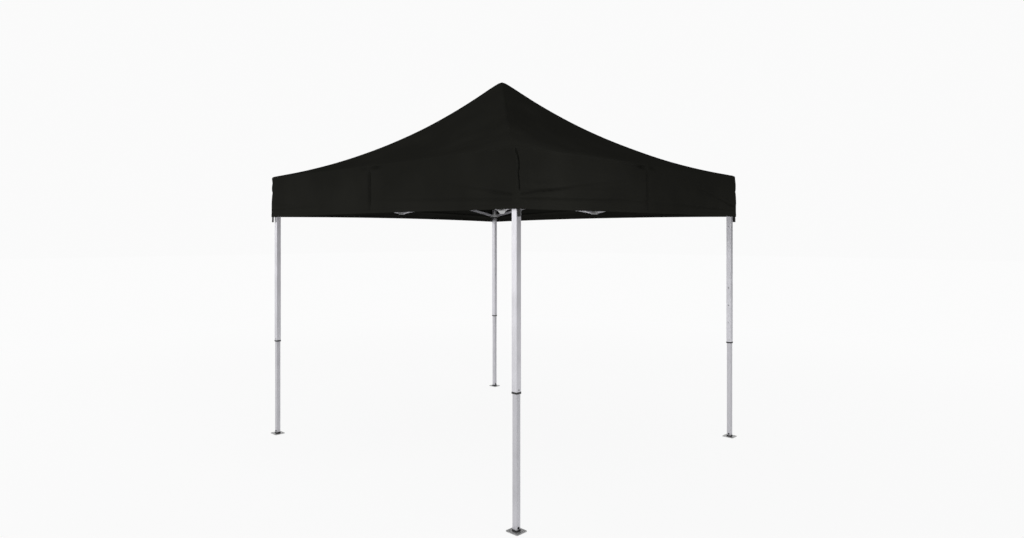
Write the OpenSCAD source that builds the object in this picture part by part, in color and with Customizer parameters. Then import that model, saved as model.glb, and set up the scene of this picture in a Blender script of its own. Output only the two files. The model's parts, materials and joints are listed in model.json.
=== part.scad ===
// Pop up gazebo: four telescopic legs joined by folding scissor trusses, a telescopic mast
// and a fabric canopy with valances. Millimetres, ground at z = 0, +Z up.

/* [Frame] */
// Distance between the axes of neighbouring legs
leg_pitch = 2920; // [2400:10:3600]
// Height of the upper pivots of the trusses
upper_pivot_z = 2318; // [2200:1:2500]
// Drop from the upper to the lower pivots when the frame stands open
truss_drop = 250; // [200:5:320]

/* [Truss bars] */
// Depth of a bar, in the plane of its scissor
bar_depth = 26; // [20:1:34]
// Width of a bar, across its scissor
bar_width = 13; // [10:0.5:18]
// Wall of a bar tube
bar_wall = 1.3; // [1:0.1:2]
// Gap between the two bars of a scissor, filled by a washer
washer_gap = 1.5; // [1:0.1:3]
// Diameter of the pivot pins
pin_d = 6; // [5:0.5:8]
// Diameter of the pin heads
pin_head_d = 10; // [9:0.5:11]
// Diameter of the washer between the two bars of a scissor
washer_d = 18; // [14:1:24]
// Thickness of the pin heads
pin_head_t = 3; // [2:0.5:4]
// Length of a bar's end fitting, from its pin to the tube
fitting_len = 15; // [14:1:30]
// Length of the end fitting's spigot in the tube
spigot_len = 28; // [15:1:50]

/* [Brackets] */
// Thickness of a clevis ear
ear_t = 4.5; // [3:0.5:6]
// Thickness of the plate that joins a clevis's ears
plate_t = 4; // [3:0.5:6]
// Wall of the hub bosses round the mast
boss_wall = 4.7; // [3:0.1:8]
// Depth of the cone under the lower hub
hub_cone = 28; // [10:1:40]
// Height of the cap on a leg's top bracket, which carries the canopy
leg_cap = 26; // [10:1:40]
// Depth of the top bracket's plug in the leg tube
plug_depth = 60; // [30:5:120]
// Wall of the top bracket's plug
plug_wall = 3; // [2:0.5:5]

/* [Legs] */
// Width of the outer leg tube
outer_tube = 42; // [36:1:50]
// Wall of the outer leg tube
outer_wall = 1.8; // [1.2:0.1:2.4]
// Space between the outer and the inner tube
tube_gap = 1.7; // [1.4:0.1:2.5]
// Wall of the inner leg tube
inner_wall = 1.6; // [1.2:0.1:2.4]
// Corner radius of the outer leg tube
tube_corner = 3; // [2:0.5:5]
// Height of the lower end of the outer tube
outer_tube_z = 860; // [760:5:960]
// Length of the inner tube held in the outer tube
leg_overlap = 300; // [200:10:500]
// Height of the collar's flange, under the outer tube
collar_flange = 12; // [8:1:20]
// How far the collar stands out from the outer tube
collar_lip = 1.5; // [1:0.5:4]
// Height of the collar's spigot in the outer tube
collar_spigot = 26; // [24:1:60]
// Height of the collar's screw above the tube's end
collar_screw_rise = 13; // [9:1:15]
// Diameter of the collar's screw
screw_d = 3.5; // [3:0.5:5]
// Diameter of the collar screw's head
screw_head_d = 7; // [6:0.5:9]
// Thickness of the collar screw's head
screw_head_t = 2; // [1.5:0.5:3]
// Height of the glide on top of the inner tube
glide_h = 22; // [12:1:40]
// Diameter of the height holes
height_hole_d = 9.6; // [9.4:0.1:11]
// Height of the lowest height hole above the tube's end
height_hole_rise = 17; // [15:1:18]
// Distance from one height hole to the next
height_hole_pitch = 157; // [120:1:180]
// Number of height holes
height_hole_count = 4; // [2:1:5]
// Height of the plain hole through the outer tube
plain_hole_z = 1905; // [1700:5:1960]
// Diameter of the plain hole
plain_hole_d = 7; // [5:0.5:9]

/* [Sliders and buttons] */
// Wall of the slider's sleeve
slider_wall = 4.7; // [3.5:0.1:7]
// Height of the slider's sleeve above its pivots
slider_rise = 40; // [30:1:60]
// Height of the grip ring under the sleeve
grip_h = 18; // [6:1:24]
// Diameter of the snap buttons
button_d = 9; // [7:0.5:9.2]
// Width of the flange that keeps a button in its tube
button_flange_d = 13; // [12:0.5:16]
// How far a leg button stands out of the outer tube
leg_button_out = 3; // [1:0.5:4]
// How far a slider lock stands out of the outer tube
slider_lock_out = 5; // [4:0.5:6]
// Length of a button's leaf spring
leaf_len = 45; // [30:1:70]

/* [Feet] */
// Width of the foot plate
foot_w = 97; // [80:1:140]
// Thickness of the foot plate
foot_t = 5; // [3:0.5:8]
// Corner radius of the foot plate
foot_corner = 10; // [4:0.5:12]
// Diameter of the holes in the foot plate
foot_hole_d = 11; // [8:0.5:13]
// Distance from a hole to the edges of the foot plate
foot_hole_edge = 14; // [10:0.5:16]
// Height of the insert between foot plate and leg
insert_h = 9; // [6:0.5:20]
// How far the insert stands out from the inner tube
insert_lip = 2.5; // [1:0.5:5]
// Height of the insert's spigot in the inner tube
insert_spigot = 45; // [35:1:90]
// Height of the foot bolt above the inner tube's end
foot_bolt_rise = 12; // [10:1:28]
// Diameter of the foot bolt's heads
foot_bolt_head_d = 14; // [10:0.5:18]

/* [Mast] */
// Outer diameter of the mast's sleeve
sleeve_d = 32; // [28:1:40]
// Wall of the mast tubes
mast_wall = 1.5; // [1:0.1:2]
// Space between the sleeve and the upper mast tube
mast_gap = 0.5; // [0.3:0.1:1]
// Height of the sleeve's top above the upper pivots
sleeve_rise = 322; // [250:1:400]
// Height of the upper mast tube's lower end above the lower pivots
mast_lift = 15; // [5:1:60]
// Radius of the domed cap
cap_r = 24; // [20:1:30]
// Height of the cap's straight skirt
cap_skirt = 12; // [8:1:25]

/* [Canopy] */
// Height of the peak
peak_z = 3223; // [3000:1:3400]
// Height of the valance, from eave to hem
valance_h = 370; // [200:5:375]
// Thickness of the cloth
cloth_t = 2; // [1:0.5:3]
// Radius of the eave
eave_r = 16; // [4:1:16]
// Space between the frame and the valance
eave_gap = 16; // [12:1:30]
// Sag of a roof panel between its hips
roof_sag = 25; // [0:5:60]
// Depth of the waves in a valance
wave_depth = 3; // [0:0.5:5]
// How far a valance's lower corners stand out
corner_bulge = 4; // [0:1:12]
// How much higher the hem is at the middle of a side than at its corners
hem_arch = 15; // [0:1:40]
// Width of the webbing tabs
tab_w = 30; // [20:1:36]
// Distance of a webbing tab's middle from the leg's axis, towards the corner
tab_shift = 17; // [0:1:18]
// Length of a webbing tab below the hem
tab_drop = 48; // [20:1:80]
// Length of a webbing tab sewn behind the valance
tab_seam = 38; // [20:1:60]

/* [Clearances] */
// Running clearance of a pin in its bore
pin_gap = 0.15; // [0.05:0.05:0.3]
// Clearance of a pin in its ears
ear_fit = 0.05; // [0.02:0.01:0.1]
// Side clearance between a bar and its ears
side_play = 0.3; // [0.2:0.05:0.6]
// Clearance above a bar's end, under the clevis plate
nose_gap = 1; // [0.5:0.1:3]
// Sliding clearance of sleeves and glides
slide_gap = 0.3; // [0.2:0.05:0.6]
// Clearance of plugs and spigots in their tubes
fit_gap = 0.1; // [0.05:0.01:0.2]
// Gap between the canopy and what it rests on
seat_gap = 0.3; // [0.2:0.05:0.5]
// Gap left between two panels at a seam
seam_gap = 0.1; // [0.05:0.01:0.2]

/* [Hidden] */
$fn = 48;
corners = ["front", "right", "back", "left"];
sides = ["front_right", "back_right", "back_left", "front_left"];
metal = [0.79, 0.80, 0.81];
casting = [0.70, 0.71, 0.72];
zinc = [0.60, 0.61, 0.62];
plastic = [0.07, 0.07, 0.07];
cloth = [0.12, 0.12, 0.11];

// Planes of the bars: half the distance between the two bars of a scissor
plane = (bar_width + washer_gap) / 2;
clevis_half = bar_width / 2 + side_play + ear_t;
clevis_out = plane + clevis_half;
nose_r = bar_depth / 2;
plate_z = nose_r + nose_gap;
plate_top = plate_z + plate_t;

// Reach of the pins from the axes of legs, middle brackets and hubs: both spans are alike
slider_half = outer_tube / 2 + slide_gap + slider_wall;
boss_r = sleeve_d / 2 + slide_gap + boss_wall;
bracket_room = 3.5;
mid_reach = nose_r + max(11, pin_head_d + 1);
inner_reach = clevis_out + bracket_room + nose_r;
slider_room = 10;
reach = max(slider_half + slider_room + nose_r + mid_reach, boss_r + bracket_room + nose_r + inner_reach);
leg_reach = reach - mid_reach;
hub_reach = reach - inner_reach;

half = leg_pitch / 2;
lower_pivot_z = upper_pivot_z - truss_drop;
span = half - reach;
bar_len = norm([span, truss_drop]);
slope = atan2(truss_drop, span);

inner_tube = outer_tube - 2 * outer_wall - 2 * tube_gap;
inner_corner = max(0.5, tube_corner - outer_wall);
inner_tube_z = foot_t + insert_h;
outer_tube_top = upper_pivot_z + plate_z - fit_gap;
leg_top = upper_pivot_z + plate_top + leg_cap;
cap_taper = 0.86;
height_hole_z = outer_tube_z + height_hole_rise;
slider_low = -plate_top - grip_h;
slider_lock_z = lower_pivot_z + slider_low - seat_gap - button_d / 2;

mast_d = sleeve_d - 2 * mast_wall - 2 * mast_gap;
mast_foot_z = lower_pivot_z + mast_lift;

// Roof profile: height over the square distance s from the mast, rounded at the tip
canopy_half = half + max(outer_tube / 2, clevis_out + pin_head_t) + eave_gap + cloth_t;
roof_half = canopy_half - eave_r;
eave_in_r = eave_r - cloth_t;
tip_round = 1.25 * cap_r;
tip_half = cap_r / 4;
hip_linear = 0.405;
hip_square = 0.412;
function hip(t) = hip_linear * t + hip_square * t ^ 2 + (1 - hip_linear - hip_square) * t ^ 3;
function roof_t(s) = 1 - norm([s, tip_round]) / norm([roof_half, tip_round]);
function roof_share(s) = hip(roof_t(s)) / hip(roof_t(tip_half));

// The canopy rests on the outer edges of the legs' caps
seat_share = roof_share(half + cap_taper * outer_tube / 2);
eave_z = (leg_top + seat_gap + cloth_t - peak_z * seat_share) / (1 - seat_share);
hem_z = eave_z - valance_h;
function roof_z(s) = eave_z + (peak_z - eave_z) * roof_share(s);
cap_top = peak_z - cloth_t - seat_gap;

corner_kinds = ["outer_leg", "inner_leg", "foot", "slider", "leg_button", "slider_lock"];
side_kinds = ["upper_mid_bracket", "lower_mid_bracket", "crown_bar", "mast_bar"];

// Small helpers

module rounded_square(w, r) {
    square([w - 2 * r, w], center = true);
    square([w, w - 2 * r], center = true);
    for (x = [-1, 1], y = [-1, 1]) translate([x, y] * (w / 2 - r)) circle(r);
}

module square_tube(w, wall, r, low, high) {
    translate([0, 0, low]) linear_extrude(high - low) difference() {
        rounded_square(w, r);
        rounded_square(w - 2 * wall, max(0.3, r - wall));
    }
}

module box(low, high) {
    translate(low) cube(high - low);
}

// A rod along Y, centred on the origin or from y = a to y = b
module rod(d, a, b) {
    translate([0, a, 0]) rotate([-90, 0, 0]) cylinder(d = d, h = b - a);
}

// Pivot pin along Y with a head on each side, gripping from y = a to y = b
module pivot_pin(a, b, head_d = pin_head_d) {
    color(zinc) union() {
        rod(pin_d, a - fit_gap, b + fit_gap);
        rod(head_d, a - fit_gap - pin_head_t, a - fit_gap);
        rod(head_d, b + fit_gap, b + fit_gap + pin_head_t);
    }
}

// Clevis arm along +X, open downwards: ears and web from start, the plate over them from plate_start
module clevis_arm(start, pin_x, plate_start = 0) {
    difference() {
        union() {
            for (y = [-clevis_half, clevis_half - ear_t])
                translate([0, y + ear_t, 0]) rotate([90, 0, 0]) linear_extrude(ear_t) {
                    translate([start, -nose_r]) square([pin_x - start, nose_r + plate_top]);
                    translate([pin_x, 0]) square([nose_r, plate_top]);
                    translate([pin_x, 0]) circle(nose_r);
                }
            box([plate_start, -clevis_half, plate_z], [pin_x + nose_r, clevis_half, plate_top]);
            box([start, -clevis_half, -nose_r], [pin_x - nose_r - nose_gap, clevis_half, plate_top]);
        }
        translate([pin_x, 0, 0]) rod(pin_d + 2 * ear_fit, -2 * clevis_half, 2 * clevis_half);
    }
}

module clevis_pin(pin_x) {
    translate([pin_x, 0, 0]) pivot_pin(-clevis_half, clevis_half);
}

// Truss bars, along +X from the pin at the origin to the pin at bar_len

module end_fitting() {
    spigot_w = bar_width - 2 * bar_wall - 2 * fit_gap;
    spigot_d = bar_depth - 2 * bar_wall - 2 * fit_gap;
    color(casting) difference() {
        union() {
            rod(bar_depth, -bar_width / 2, bar_width / 2);
            box([0, -bar_width / 2, -nose_r], [fitting_len, bar_width / 2, nose_r]);
            box([fitting_len - 1, -spigot_w / 2, -spigot_d / 2],
                [fitting_len + spigot_len, spigot_w / 2, spigot_d / 2]);
        }
        rod(pin_d + 2 * pin_gap, -bar_width, bar_width);
    }
}

module bar_tube() {
    tube_start = fitting_len + fit_gap;
    tube_half_w = bar_width / 2 - bar_wall;
    tube_half_d = nose_r - bar_wall;
    color(metal) difference() {
        box([tube_start, -bar_width / 2, -nose_r], [bar_len - tube_start, bar_width / 2, nose_r]);
        box([0, -tube_half_w, -tube_half_d], [bar_len, tube_half_w, tube_half_d]);
        translate([bar_len / 2, 0, 0]) rod(pin_d + 2 * pin_gap, -bar_width, bar_width);
    }
}

module plain_bar() {
    bar_tube();
    end_fitting();
    translate([bar_len, 0, 0]) rotate([0, 180, 0]) end_fitting();
}

// Bar that carries the centre pin of its scissor and the washer on the -Y side
module pinned_bar() {
    plain_bar();
    translate([bar_len / 2, 0, 0]) {
        pivot_pin(-2 * plane - bar_width / 2, bar_width / 2);
        color(plastic) difference() {
            rod(washer_d, fit_gap - bar_width / 2 - washer_gap, -bar_width / 2 - fit_gap);
            rod(pin_d + 2 * pin_gap, -2 * plane, 0);
        }
    }
}

// Perimeter bars of the side from one corner to the next, in the frame of the first side

module side_bar(to_next, from_z, tilt, y) {
    pin_x = to_next ? mid_reach : -mid_reach;
    turn = to_next ? tilt : 180 - tilt;
    translate([pin_x, y - half, from_z]) rotate([0, turn, 0]) children();
}

module top_bar(to_next) {
    side_bar(to_next, lower_pivot_z, -slope, plane) pinned_bar();
}

module slider_bar(to_next) {
    side_bar(to_next, upper_pivot_z, slope, -plane) plain_bar();
}

// Inner bars from the hubs to the middle of the first side

module crown_bar() {
    translate([plane, -hub_reach, upper_pivot_z]) rotate([0, slope, -90]) pinned_bar();
}

module mast_bar() {
    translate([-plane, -hub_reach, lower_pivot_z]) rotate([0, -slope, -90]) plain_bar();
}

// Brackets at the middle of a side: s is 1 for the lower one, which opens upwards, and -1 for the upper

module mid_arms(s) {
    for (turn = [0, 180]) translate([0, s * plane, 0]) rotate(turn) children(0);
    translate([s * plane, 0, 0]) rotate(90) children(1);
}

module inner_arm(s) {
    start = s * plane + clevis_half - ear_t / 2;
    clevis_arm(start, inner_reach, start);
}

module mid_bracket(s) {
    translate([0, -half, s > 0 ? lower_pivot_z : upper_pivot_z]) mirror([0, 0, s > 0 ? 1 : 0]) {
        color(casting) union() mid_arms(s) {
            clevis_arm(0, mid_reach);
            inner_arm(s);
        }
        mid_arms(s) {
            clevis_pin(mid_reach);
            clevis_pin(inner_reach);
        }
    }
}

// Hubs: s is 1 for the crown, which opens downwards, and -1 for the lower hub

module hub_arms(s) {
    for (i = [0:3]) rotate(90 * i) translate([s * plane, 0, 0]) rotate(-90) children();
}

module crown_hub() {
    translate([0, 0, upper_pivot_z]) {
        color(casting) difference() {
            union() {
                translate([0, 0, -nose_r]) cylinder(r = boss_r, h = nose_r + plate_top);
                hub_arms(1) clevis_arm(0, hub_reach);
            }
            translate([0, 0, -bar_depth]) cylinder(d = sleeve_d + 2 * slide_gap, h = 3 * bar_depth);
        }
        hub_arms(1) clevis_pin(hub_reach);
    }
}

module lower_hub() {
    sleeve_len = plate_z + truss_drop + sleeve_rise;
    translate([0, 0, lower_pivot_z]) {
        mirror([0, 0, 1]) {
            color(casting) difference() {
                union() {
                    translate([0, 0, -nose_r]) cylinder(r = boss_r, h = nose_r + plate_top);
                    hub_arms(-1) clevis_arm(0, hub_reach);
                    translate([0, 0, plate_top - 1])
                        cylinder(r1 = hub_reach, r2 = sleeve_d / 2, h = hub_cone + 1);
                }
                translate([0, 0, plate_z - 3 * bar_depth])
                    cylinder(d = sleeve_d + 2 * fit_gap, h = 3 * bar_depth);
            }
            hub_arms(-1) clevis_pin(hub_reach);
        }
        color(metal) translate([0, 0, fit_gap - plate_z]) difference() {
            cylinder(d = sleeve_d, h = sleeve_len);
            translate([0, 0, -1]) cylinder(d = sleeve_d - 2 * mast_wall, h = sleeve_len + 2);
        }
    }
}

module mast_top() {
    skirt_z = cap_top - cap_r - cap_skirt;
    tube_top = cap_top - cap_r - fit_gap;
    color(metal) translate([0, 0, mast_foot_z]) difference() {
        cylinder(d = mast_d, h = tube_top - mast_foot_z);
        translate([0, 0, -1]) cylinder(d = mast_d - 2 * mast_wall, h = tube_top - mast_foot_z + 2);
    }
    color(plastic) translate([0, 0, skirt_z]) difference() {
        rotate_extrude() {
            square([cap_r, cap_skirt]);
            translate([0, cap_skirt]) intersection() {
                circle(cap_r);
                square(cap_r);
            }
        }
        translate([0, 0, -1]) cylinder(d = mast_d + 2 * fit_gap, h = cap_skirt + 1);
    }
}

// Legs, in the frame of the front corner: +X and +Y run along the two sides that meet there

module at_corner(i) {
    rotate(90 * i) translate([-half, -half, 0]) children();
}

module leg_arms(y) {
    translate([0, y, 0]) children();
    translate([y, 0, 0]) rotate(90) children();
}

module outer_leg() {
    plug = outer_tube - 2 * outer_wall - 2 * fit_gap;
    color(metal) difference() {
        square_tube(outer_tube, outer_wall, tube_corner, outer_tube_z, outer_tube_top);
        for (n = [0:height_hole_count - 1])
            translate([0, 0, height_hole_z + n * height_hole_pitch]) rod(height_hole_d, 0, outer_tube);
        translate([0, 0, slider_lock_z]) rod(height_hole_d, 0, outer_tube);
        translate([0, 0, plain_hole_z]) rod(plain_hole_d, -outer_tube, outer_tube);
        translate([0, 0, outer_tube_z + collar_screw_rise]) rod(screw_d + 2 * ear_fit, -outer_tube, 0);
    }
    translate([0, 0, upper_pivot_z]) {
        color(casting) union() {
            translate([0, 0, plate_z]) linear_extrude(plate_t) rounded_square(outer_tube, tube_corner);
            translate([0, 0, plate_top - plate_t / 2])
                linear_extrude(leg_cap + plate_t / 2, scale = cap_taper)
                    rounded_square(outer_tube, tube_corner);
            square_tube(plug, plug_wall, inner_corner, plate_z - plug_depth, plate_z + plate_t / 2);
            leg_arms(plane) clevis_arm(outer_tube / 2 + fit_gap, leg_reach);
        }
        leg_arms(plane) clevis_pin(leg_reach);
    }
    collar();
}

// Collar at the lower end of the outer tube: flange, thin spigot between the tubes, and its screw
module collar() {
    spigot = outer_tube - 2 * outer_wall - 2 * fit_gap;
    bore = inner_tube + 2 * slide_gap;
    color(plastic) translate([0, 0, outer_tube_z]) difference() {
        union() {
            translate([0, 0, -collar_flange]) linear_extrude(collar_flange - fit_gap)
                rounded_square(outer_tube + 2 * collar_lip, tube_corner + collar_lip);
            translate([0, 0, -1]) linear_extrude(collar_spigot + 1) rounded_square(spigot, inner_corner);
        }
        translate([0, 0, -2 * collar_flange]) linear_extrude(2 * collar_flange + 2 * collar_spigot)
            rounded_square(bore, inner_corner);
        translate([0, 0, height_hole_rise]) rod(height_hole_d, 0, outer_tube);
        translate([0, 0, collar_screw_rise]) rod(screw_d + 2 * ear_fit, -outer_tube, 0);
    }
    color(zinc) translate([0, -outer_tube / 2, outer_tube_z + collar_screw_rise]) union() {
        rod(screw_head_d, -screw_head_t - fit_gap, -fit_gap);
        rod(screw_d, -fit_gap, (outer_tube - bore) / 2);
    }
}

module inner_leg() {
    glide = outer_tube - 2 * outer_wall - 2 * slide_gap;
    plug = inner_tube - 2 * inner_wall - 2 * fit_gap;
    top = outer_tube_z + leg_overlap;
    color(metal) difference() {
        square_tube(inner_tube, inner_wall, inner_corner, inner_tube_z, top);
        translate([0, 0, height_hole_z]) rod(height_hole_d, 0, outer_tube);
        translate([0, 0, inner_tube_z + foot_bolt_rise]) rod(pin_d + 2 * ear_fit, -outer_tube, outer_tube);
    }
    color(plastic) translate([0, 0, top]) difference() {
        union() {
            translate([0, 0, fit_gap]) linear_extrude(glide_h) rounded_square(glide, inner_corner);
            translate([0, 0, -glide_h]) linear_extrude(glide_h + 1) rounded_square(plug, 1);
        }
        translate([0, 0, -2 * glide_h]) cylinder(d = plug / 2, h = 4 * glide_h);
    }
}

module foot() {
    plug = inner_tube - 2 * inner_wall - 2 * fit_gap;
    hole = foot_w / 2 - foot_hole_edge;
    color(zinc) linear_extrude(foot_t) difference() {
        rounded_square(foot_w, foot_corner);
        for (x = [-1, 1], y = [-1, 1]) translate([x, y] * hole) circle(d = foot_hole_d);
    }
    color(plastic) difference() {
        union() {
            translate([0, 0, foot_t + fit_gap]) linear_extrude(insert_h - fit_gap)
                rounded_square(inner_tube + 2 * insert_lip, tube_corner);
            translate([0, 0, inner_tube_z - 1]) linear_extrude(insert_spigot + 1) rounded_square(plug, 1);
        }
        translate([0, 0, inner_tube_z + foot_bolt_rise]) rod(pin_d + 2 * ear_fit, -outer_tube, outer_tube);
    }
    translate([0, 0, inner_tube_z + foot_bolt_rise])
        pivot_pin(-inner_tube / 2, inner_tube / 2, foot_bolt_head_d);
}

module slider() {
    arm_start = slider_half - slider_wall / 2;
    corner = tube_corner + slider_wall;
    translate([0, 0, lower_pivot_z]) {
        color(casting) union() {
            square_tube(2 * slider_half, slider_wall, corner, -plate_top, slider_rise);
            mirror([0, 0, 1]) leg_arms(-plane) clevis_arm(arm_start, leg_reach, arm_start);
        }
        mirror([0, 0, 1]) leg_arms(-plane) clevis_pin(leg_reach);
        color(plastic) square_tube(2 * slider_half, slider_wall, corner, slider_low, -plate_top - fit_gap);
    }
}

// Snap buttons face +Y: a round nose, a flange behind the tube's wall and a leaf spring above it

module snap_button(wall_y, out_y, z) {
    flange_t = 1.5;
    leaf_t = 1;
    flange_y = wall_y - seat_gap;
    color(zinc) translate([0, 0, z]) union() {
        rod(button_d, flange_y - flange_t, out_y);
        rod(button_flange_d, flange_y - flange_t, flange_y);
        box([-button_d / 2, flange_y - flange_t, 0], [button_d / 2, flange_y - flange_t + leaf_t, leaf_len]);
    }
}

module leg_button() {
    snap_button(inner_tube / 2 - inner_wall, outer_tube / 2 + leg_button_out, height_hole_z);
}

module slider_lock() {
    snap_button(outer_tube / 2 - outer_wall, outer_tube / 2 + slider_lock_out, slider_lock_z);
}

// Canopy: four roof panels and four valances that meet at the hips and eaves, and corner tabs

roof_rows = 12;
roof_cols = 4;
valance_cols = 14;
arc_steps = 2;
drop_steps = 3;

// A closed sheet between two grids of points with the same number of rows and columns
module sheet(outer, inner) {
    rows = len(outer);
    cols = len(outer[0]);
    count = rows * cols;
    function at(side, r, c) = side * count + r * cols + c;
    function quad(a, b, c, d) = [[a, b, c], [a, c, d]];
    faces = concat(
        [for (r = [0:rows - 2], c = [0:cols - 2]) each
            quad(at(0, r, c), at(0, r, c + 1), at(0, r + 1, c + 1), at(0, r + 1, c))],
        [for (r = [0:rows - 2], c = [0:cols - 2]) each
            quad(at(1, r, c), at(1, r + 1, c), at(1, r + 1, c + 1), at(1, r, c + 1))],
        [for (r = [0:rows - 2]) each
            quad(at(0, r, 0), at(0, r + 1, 0), at(1, r + 1, 0), at(1, r, 0))],
        [for (r = [0:rows - 2]) each
            quad(at(0, r + 1, cols - 1), at(0, r, cols - 1), at(1, r, cols - 1), at(1, r + 1, cols - 1))],
        [for (c = [0:cols - 2]) each
            quad(at(0, 0, c + 1), at(0, 0, c), at(1, 0, c), at(1, 0, c + 1))],
        [for (c = [0:cols - 2]) each
            quad(at(0, rows - 1, c), at(0, rows - 1, c + 1), at(1, rows - 1, c + 1), at(1, rows - 1, c))]
    );
    polyhedron(concat([for (row = outer) each row], [for (row = inner) each row]), faces);
}

roof_power = 2;
function roof_s(k) = tip_half + (roof_half - tip_half) * (k / roof_rows) ^ roof_power;
function roof_point(s, u, down) =
    let (t = roof_t(s)) [u * s, -s, roof_z(s) - roof_sag * (4 * t * (1 - t)) ^ 2 * (1 - u * u) - down];

module roof_panel() {
    function grid(down) = [for (k = [0:roof_rows])
        [for (c = [0:roof_cols]) roof_point(roof_s(k), 2 * c / roof_cols - 1, down)]];
    sheet(grid(0), grid(cloth_t));
}

// Outward push of a valance at u across its width, -1 to 1, and f down its drop, 0 to 1
bulge_from = 0.88;
bulge_full = 0.95;
waves = 3;
function ramp(x, low, high) = min(1, max(0, (x - low) / (high - low)));
function push(u, f) =
    corner_bulge * ramp(abs(u), bulge_from, bulge_full) * ramp(f, 1 / 3, 2 / 3)
    + wave_depth * f * (1 + sin(360 * waves * u)) / 2 * (1 - ramp(abs(u), bulge_from, bulge_full));

// Cross-section of a valance as [distance from the mast, height, f], with the eave's arc of radius r
function valance_rows(r) = concat(
    [for (k = [0:arc_steps]) let (a = 90 * (1 - k / arc_steps))
        [roof_half + r * cos(a), eave_z - eave_r + r * sin(a), 0]],
    [for (k = [1:drop_steps]) let (f = k / drop_steps)
        [roof_half + r, eave_z - eave_r - f * (valance_h - eave_r), f]]
);

module valance() {
    function across(c) = sin(90 * (2 * c / valance_cols - 1));
    function point(row, u) = let (s = row[0] + push(u, row[2]))
        [u * s, -s, row[1] + hem_arch * row[2] * (1 - u * u)];
    function grid(r) = [for (row = valance_rows(r)) [for (c = [0:valance_cols]) point(row, across(c))]];
    sheet(grid(eave_r), grid(eave_in_r));
}

module corner_tab() {
    back = canopy_half - cloth_t + corner_bulge - seat_gap;
    side = half + tab_shift;
    box([-side - tab_w / 2, -back, hem_z - tab_drop], [tab_w / 2 - side, cloth_t - back, hem_z + tab_seam]);
}

module canopy() {
    color(cloth) {
        box([-tip_half, -tip_half, peak_z - cloth_t], [tip_half, tip_half, peak_z]);
        for (i = [0:3]) rotate(90 * i) {
            translate([0, -seam_gap, 0]) roof_panel();
            translate([0, -2 * seam_gap, 0]) valance();
            corner_tab();
        }
    }
}

// Drawing: each named piece by itself, or all of them

module piece(name) {
    children();
}

crown_hub();
lower_hub();
mast_top();
canopy();
for (i = [0:3]) at_corner(i) {
    piece(str("outer_leg_", corners[i])) outer_leg();
    piece(str("inner_leg_", corners[i])) inner_leg();
    piece(str("foot_", corners[i])) foot();
    piece(str("slider_", corners[i])) slider();
    piece(str("leg_button_", corners[i])) leg_button();
    piece(str("slider_lock_", corners[i])) slider_lock();
}
for (i = [0:3]) rotate(90 * i) {
    piece(str("upper_mid_bracket_", sides[i])) mid_bracket(-1);
    piece(str("lower_mid_bracket_", sides[i])) mid_bracket(1);
    piece(str("crown_bar_", sides[i])) crown_bar();
    piece(str("mast_bar_", sides[i])) mast_bar();
    piece(str("top_bar_", corners[i], "_to_", corners[(i + 1) % 4])) top_bar(false);
    piece(str("top_bar_", corners[(i + 1) % 4], "_to_", corners[i])) top_bar(true);
    piece(str("slider_bar_", corners[i], "_to_", corners[(i + 1) % 4])) slider_bar(false);
    piece(str("slider_bar_", corners[(i + 1) % 4], "_to_", corners[i])) slider_bar(true);
}
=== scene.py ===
"""Visual model of a pop up gazebo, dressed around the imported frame.

Metres, ground at z = 0, +Z up. The corners are front (-X, -Y), right (+X, -Y), back (+X, +Y) and
left (-X, +Y). Each side is named for the two corners' directions that it faces.
"""

from __future__ import annotations

import json
import logging
import math
from abc import ABC, abstractmethod
from collections.abc import Sequence
from dataclasses import dataclass, field, replace
from enum import Enum

import bpy
import numpy as np
from mathutils import Matrix, Vector, noise

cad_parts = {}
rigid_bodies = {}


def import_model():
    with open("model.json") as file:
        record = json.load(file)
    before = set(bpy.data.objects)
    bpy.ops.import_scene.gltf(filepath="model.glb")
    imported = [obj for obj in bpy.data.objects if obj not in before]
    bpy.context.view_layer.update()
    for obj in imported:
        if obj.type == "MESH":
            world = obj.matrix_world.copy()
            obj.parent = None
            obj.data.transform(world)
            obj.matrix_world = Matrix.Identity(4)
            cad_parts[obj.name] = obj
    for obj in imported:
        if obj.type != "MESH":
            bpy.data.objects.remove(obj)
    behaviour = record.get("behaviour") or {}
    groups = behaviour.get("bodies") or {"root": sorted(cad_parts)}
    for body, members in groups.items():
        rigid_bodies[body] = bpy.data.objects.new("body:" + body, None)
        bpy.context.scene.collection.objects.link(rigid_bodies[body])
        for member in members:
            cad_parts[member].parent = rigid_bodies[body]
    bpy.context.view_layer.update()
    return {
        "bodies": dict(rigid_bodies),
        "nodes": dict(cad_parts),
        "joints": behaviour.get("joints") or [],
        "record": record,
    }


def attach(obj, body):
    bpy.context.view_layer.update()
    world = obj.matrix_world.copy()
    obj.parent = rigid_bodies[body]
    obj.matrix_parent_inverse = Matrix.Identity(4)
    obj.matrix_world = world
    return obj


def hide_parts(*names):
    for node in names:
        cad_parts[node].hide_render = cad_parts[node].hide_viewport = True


log = logging.getLogger("gazebo")

MILLIMETRES = 1000.0
NOISE_SPAN = (0.3, 0.7)
LEAST_SHARE = 1e-5
CUT_LAYER = "cut"
BAR_TILT = math.radians(10.2)
QUAD = ((0, 0), (1, 0), (1, 1), (0, 1))
Span = tuple[float, float]
Vec3 = tuple[float, float, float]
Socket = bpy.types.NodeSocket
Item = bpy.types.Object
Array = np.ndarray
Values = np.ndarray | float
Colour = tuple[float, float, float, float]


def grey(value: float, warmth: float = 0.0) -> Colour:
    """A linear grey, a little warmer or cooler than neutral."""
    return (value * (1 + warmth), value, value * (1 - warmth), 1.0)


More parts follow.
